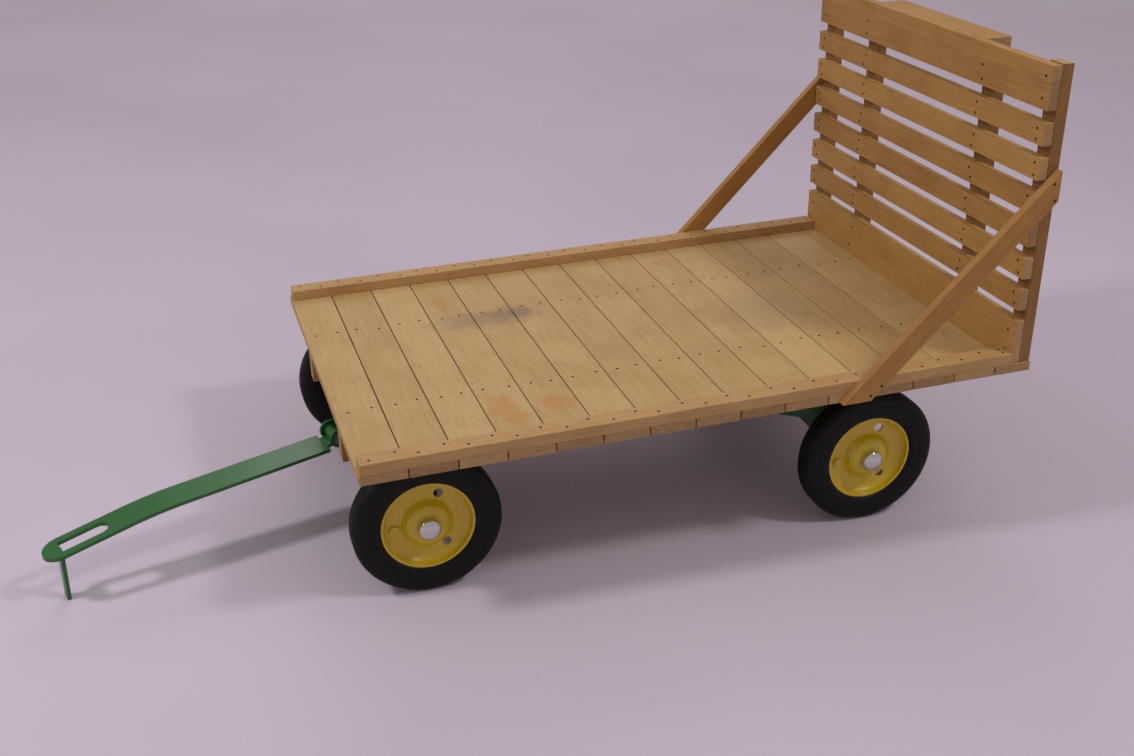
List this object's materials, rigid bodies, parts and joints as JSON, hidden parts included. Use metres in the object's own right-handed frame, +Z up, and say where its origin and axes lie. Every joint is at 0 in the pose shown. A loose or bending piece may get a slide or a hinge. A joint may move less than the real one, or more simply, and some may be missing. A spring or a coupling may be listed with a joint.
{
  "type": "model hay wagon",
  "caption": "Flatbed hay wagon at model size: plank deck on sills, slatted rear rack with braces, steered front axle, swinging hook tongue and pressed-steel wheels.",
  "frame": {"origin": "middle of the wagon's footprint on the floor, tongue lowered", "axes": "+X forward towards the tongue, +Y the wagon's left, +Z up"},
  "size_m": [0.4087, 0.1926, 0.2043],
  "materials": {
    "deck_wood": "light planed softwood, bare, worn and stained",
    "rack_wood": "bare softwood, darker and more orange",
    "green_steel": "gloss green enamel on pressed steel",
    "yellow_steel": "gloss yellow enamel on pressed steel",
    "plain_steel": "plain drawn rod",
    "cap_chrome": "bright plated dome caps",
    "tyre_rubber": "black rubber"
  },
  "bodies": {
    "wagon": {"planks": "deck_wood", "side_rails": "deck_wood", "sills": "deck_wood", "top_board": "rack_wood", "slats": "rack_wood", "bottom_board": "rack_wood", "end_uprights": "rack_wood", "inner_uprights": "rack_wood", "back_board": "rack_wood", "braces": "rack_wood", "front_bolster": "green_steel", "rear_bolster": "green_steel", "rear_beam": "green_steel", "reach": "green_steel", "hounds": "green_steel", "kingpin": "plain_steel", "rear_axle": "plain_steel", "rear_caps": "cap_chrome"},
    "front_gear": {"front_beam": "green_steel", "swing_rivet": "plain_steel", "front_axle": "plain_steel", "front_caps": "cap_chrome"},
    "tongue_clevis": {"tongue_clevis": "green_steel", "hinge_pin": "plain_steel"},
    "tongue": {"tongue": "green_steel"},
    "wheel_front_left": {"rim_front_left": "yellow_steel", "tyre_front_left": "tyre_rubber"},
    "wheel_front_right": {"rim_front_right": "yellow_steel", "tyre_front_right": "tyre_rubber"},
    "wheel_rear_left": {"rim_rear_left": "yellow_steel", "tyre_rear_left": "tyre_rubber"},
    "wheel_rear_right": {"rim_rear_right": "yellow_steel", "tyre_rear_right": "tyre_rubber"}
  },
  "joints": [
    {"name": "steering", "type": "hinge", "parent": "wagon", "child": "front_gear", "pos_m": [0.05426, 0, 0.036], "axis": [0, 0, 1], "range_deg": [-25, 25]},
    {"name": "tongue_swing", "type": "hinge", "parent": "front_gear", "child": "tongue_clevis", "pos_m": [0.07086, 0, 0.0362], "axis": [0, 0, 1], "range_deg": [-36, 4]},
    {"name": "tongue_lift", "type": "hinge", "parent": "tongue_clevis", "child": "tongue", "pos_m": [0.08007, 0.00269, 0.0404], "axis": [0.2807, -0.9598, 0], "range_deg": [0, 45]},
    {"name": "wheel_front_left_spin", "type": "hinge", "parent": "front_gear", "child": "wheel_front_left", "pos_m": [0.05426, 0.0692, 0.0309], "axis": [0, 1, 0], "continuous": true},
    {"name": "wheel_front_right_spin", "type": "hinge", "parent": "front_gear", "child": "wheel_front_right", "pos_m": [0.05426, -0.0692, 0.0309], "axis": [0, 1, 0], "continuous": true},
    {"name": "wheel_rear_left_spin", "type": "hinge", "parent": "wagon", "child": "wheel_rear_left", "pos_m": [-0.14374, 0.0692, 0.0309], "axis": [0, 1, 0], "continuous": true},
    {"name": "wheel_rear_right_spin", "type": "hinge", "parent": "wagon", "child": "wheel_rear_right", "pos_m": [-0.14374, -0.0692, 0.0309], "axis": [0, 1, 0], "continuous": true}
  ]
}
